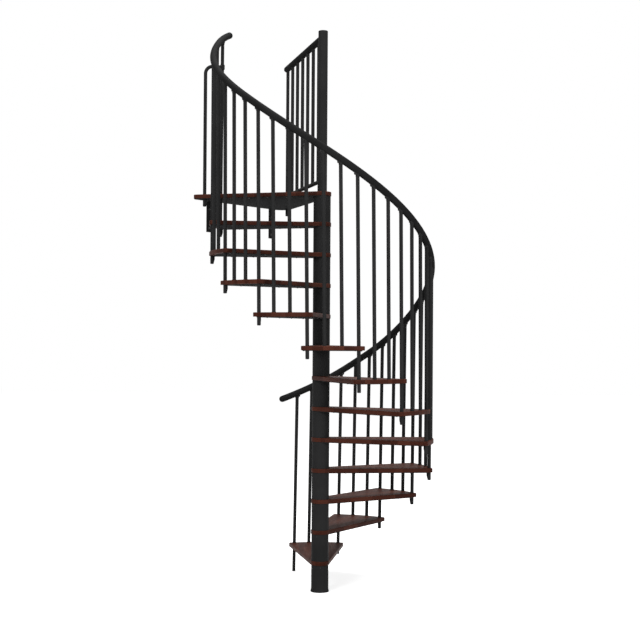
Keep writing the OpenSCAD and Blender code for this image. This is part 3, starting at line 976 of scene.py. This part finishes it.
def landingGuard():
    foot = landingTop - slabThick - stair["balusterDrop"]
    top = landingTop + guard["height"]
    r, bend, steps = stair["balusterRadius"], guard["bend"], guard["bendSteps"]
    p, corner = guardPoint(), balusterAt(lastNumber, top)
    reach = Vector((corner.x - p.x, corner.y - p.y, 0))
    way, level = reach.normalized(), Vector((0, 0, top))
    line = upright(p, roundedFoot(foot, r))
    for i in range(0, steps + 1):
        a = radians(90) * i / steps
        line.append((p + way * bend * (1 - cos(a)) + Vector((0, 0, top - bend + bend * sin(a))), r))
    stop = reach.length - r - guard["collar"] * 0.5
    line += [(p + way * stop + level, r), (p + way * (stop + stock["nip"]) + level, stock["tip"])]
    tube = roundStock("landingGuard", [line])
    half, inner, wide, edge = guard["collarHeight"] / 2, r + 0.0002, r + guard["collar"], guard["collarEdge"]
    profile = [(inner, -half), (wide - edge, -half), (wide, -half + edge), (wide, half - edge),
               (wide - edge, half), (inner, half)]
    ring = turned("guardCollar", profile, guard["collarSides"])
    ring.data.transform(Matrix.Translation((corner.x, corner.y, top)))
    finishPiece(tube, "steel", "landing_guard")
    finishPiece(ring, "steel")


landingFence()
landingGuard()
print("fence and guard made")


plateScrew = {
    "head": (0.0048, 0.0026, 0.0022),           # radius, height, socket
    "alongSides": (0.16, 0.31, 0.46, 0.61, 0.725),
    "inFromSide": 0.018,
    "inFromLandingSide": 0.024,
    "landingCount": 6,          # on each of its three sides
    "landingSpan": (0.12, 0.76),                # start and length, as shares of a side
}
grubScrew = {"head": (0.0036, 0.0014, 0.0020), "sunk": 0.0012}


def plateScrews():
    down = (0.0, 0.0, -1.0)
    places = []
    outline = treadOutline(plateScrew["inFromSide"])
    near = min((p for p in outline if p[1] > 0), key=lambda p: abs(p[0] - 0.02))
    far = max((p for p in outline if p[1] > 0), key=lambda p: p[1])
    for k in range(1, stair["treads"] + 1):
        spin = Matrix.Rotation(radians(90 - treadAzimuth(k)), 3, "Z")
        z = k * stair["rise"] - slabThick
        for side in (-1, 1):
            for x in plateScrew["alongSides"]:
                y = near[1] + (x - near[0]) * (far[1] - near[1]) / (far[0] - near[0])
                p = spin @ Vector((x, side * y, 0))
                places.append((Vector((p.x, p.y, z)), down, (1.0, 0.0, 0.0)))
    circles = landingCircles(plateScrew["inFromLandingSide"])
    z = landingTop - slabThick
    count, (first, span) = plateScrew["landingCount"], plateScrew["landingSpan"]
    for a, b in zip(circles, circles[1:] + circles[:1]):
        d = tangentDirection(a, b)
        start, stop = (Vector((c[0] + r * cos(d), c[1] + r * sin(d), z)) for c, r in (a, b))
        for i in range(count):
            places.append((start.lerp(stop, first + span * i / (count - 1)), down, (1.0, 0.0, 0.0)))
    head = screwShape("plateScrewShape", *plateScrew["head"])
    finishPiece(setOnPlaces("plateScrews", head, places, screwFinish), "steel")


def grubScrews():               # one near the top of every spacer tube
    places = []
    for k in range(1, stair["treads"] + 2):
        a = radians(90 - treadAzimuth(min(k, stair["treads"])) + 180)
        outward = Vector((cos(a), sin(a), 0))
        z = k * stair["rise"] - slabThick - column["screwDown"]
        seat = outward * (stair["columnRadius"] - grubScrew["sunk"]) + Vector((0, 0, z))
        places.append((seat, tuple(outward), (0, 0, 1)))
    head = screwShape("grubScrewShape", *grubScrew["head"])
    finishPiece(setOnPlaces("grubScrews", head, places, screwFinish), "steel")


bracket = {"thick": 0.006, "length": 0.226, "insets": (0.135, 0.052), "holes": (0.030, 0.166)}
bolt = {"shank": 0.0049, "washer": 0.011, "washerThick": 0.002, "washerEdge": 0.0003,
        "headAcross": 0.017, "head": 0.0065, "headEdge": 0.0012, "crease": 25}


def boltShape():                # hexagon head on a washer, with the shank through the bar behind it
    shank, washer, w, edge = (bolt[key] for key in ("shank", "washer", "washerThick", "washerEdge"))
    corner, top = bolt["headAcross"] / cos(pi / 6) / 2, w + bolt["head"]
    return headShape("boltShape", [
        (shank, -bracket["thick"] + 0.0002, False), (shank, 0.0, False), (washer, 0.0, False),
        (washer, w - edge, False), (washer - edge, w, False), (corner, w, True),
        (corner, top - bolt["headEdge"], True), (corner * 0.90, top, False)])


def slabBolts():
    back, front = landingCircles(0.0)[1:]
    edge = tangentDirection(back, front)
    outward = Vector((cos(edge), sin(edge), 0))
    along = Vector((sin(edge), -cos(edge), 0))
    length = (Vector(back[0]) - Vector(front[0])).dot(along.to_2d())
    start = Vector((*front[0], 0)) + outward * (front[1] - stair["plateInset"] - bracket["thick"])
    lowest = landingTop - slabThick - bracket["length"]
    places = []
    for s in (bracket["insets"][0], length - bracket["insets"][1]):
        for z in bracket["holes"]:
            places.append((start + along * s + Vector((0, 0, lowest + z)), tuple(-outward), (0, 0, 1)))
    finishPiece(setOnPlaces("slabBolts", boltShape(), places, screwFinish, bolt["crease"]), "steel")


plateScrews()
grubScrews()
slabBolts()
print("screws made")


studio = {
    "floorSize": 60.0,
    "floorColour": (0.60, 0.60, 0.60),
    "floorRough": 0.9,
    "floorGlow": 0.68,
    "ambient": 0.55,
    "softbox": 4.0,             # side of every lamp
    "lamps": (("keyLight", (-4.5, -8.0, 5.5), (0, 0, 1.9), 620),        # place, aim, power
              ("fillLight", (5.0, -7.0, 3.0), (0, 0, 1.9), 420),
              ("topLight", (0.5, 0.5, 9.0), (0, 0, 1.5), 1000)),
}
# yaw to the right, pitch upwards and roll, in degrees
standpoint = {"place": (0.0, -8.683, 1.7754), "sensor": 36.0, "lens": 69.63, "reach": 200,
              "yaw": -0.064, "pitch": 0.800, "roll": 0.361}


def seenDirectly(tree):         # 1 for camera, glossy and transmission rays, 0 for the light on the stair
    rays = addNode(tree, "ShaderNodeLightPath").outputs
    through = math(tree, "ADD", rays["Is Glossy Ray"], rays["Is Transmission Ray"])
    return math(tree, "ADD", rays["Is Camera Ray"], through, clamp=True)


def studioFloor():
    half = studio["floorSize"] / 2
    mesh = bpy.data.meshes.new("floor")
    mesh.from_pydata([(-half, -half, 0), (half, -half, 0), (half, half, 0), (-half, half, 0)], [],
                     [(0, 1, 2, 3)])
    floor = newObject("floor", mesh)
    material, tree, shader = shaderTree("paleFloor")
    shader.inputs["Base Color"].default_value = (*studio["floorColour"], 1)
    shader.inputs["Roughness"].default_value = studio["floorRough"]
    shader.inputs["Specular IOR Level"].default_value = 0.0
    glow = addNode(tree, "ShaderNodeEmission")
    glow.inputs["Color"].default_value = (1, 1, 1, 1)
    tree.links.new(math(tree, "MULTIPLY", seenDirectly(tree), studio["floorGlow"]), glow.inputs["Strength"])
    both = addNode(tree, "ShaderNodeAddShader")
    tree.links.new(shader.outputs[0], both.inputs[0])
    tree.links.new(glow.outputs[0], both.inputs[1])
    tree.links.new(both.outputs[0], tree.nodes["Material Output"].inputs["Surface"])
    mesh.materials.append(material)


def studioWorld():
    world = bpy.data.worlds.new("studioWorld")
    world.use_nodes = True
    tree = world.node_tree
    background = tree.nodes["Background"]
    background.inputs["Color"].default_value = (1, 1, 1, 1)
    strength = fromTo(tree, seenDirectly(tree), 0.0, 1.0, studio["ambient"], 1.0)
    tree.links.new(strength, background.inputs["Strength"])
    bpy.context.scene.world = world


def softbox(name, place, aim, power):
    data = bpy.data.lights.new(name, "AREA")
    data.shape = "RECTANGLE"
    data.size = data.size_y = studio["softbox"]
    data.energy = power
    lamp = newObject(name, data)
    lamp.location = place
    lamp.rotation_euler = (Vector(aim) - Vector(place)).to_track_quat("-Z", "Y").to_euler()
    lamp.visible_camera = False


def standpointCamera():
    yaw, pitch, roll = (radians(standpoint[key]) for key in ("yaw", "pitch", "roll"))
    forward = Vector((sin(yaw) * cos(pitch), cos(yaw) * cos(pitch), sin(pitch)))
    right = Vector((cos(yaw), -sin(yaw), 0))
    up = right.cross(forward)
    right, up = cos(roll) * right + sin(roll) * up, -sin(roll) * right + cos(roll) * up
    data = bpy.data.cameras.new("camera")
    data.sensor_width = standpoint["sensor"]
    data.lens = standpoint["lens"]
    data.clip_end = standpoint["reach"]
    camera = newObject("camera", data)
    turn = Matrix((right, up, -forward)).transposed()
    camera.matrix_world = Matrix.Translation(standpoint["place"]) @ turn.to_4x4()
    bpy.context.scene.camera = camera


studioFloor()
studioWorld()
for lamp in studio["lamps"]:
    softbox(*lamp)
standpointCamera()
bpy.context.scene.view_settings.view_transform = "Standard"
print("studio made")
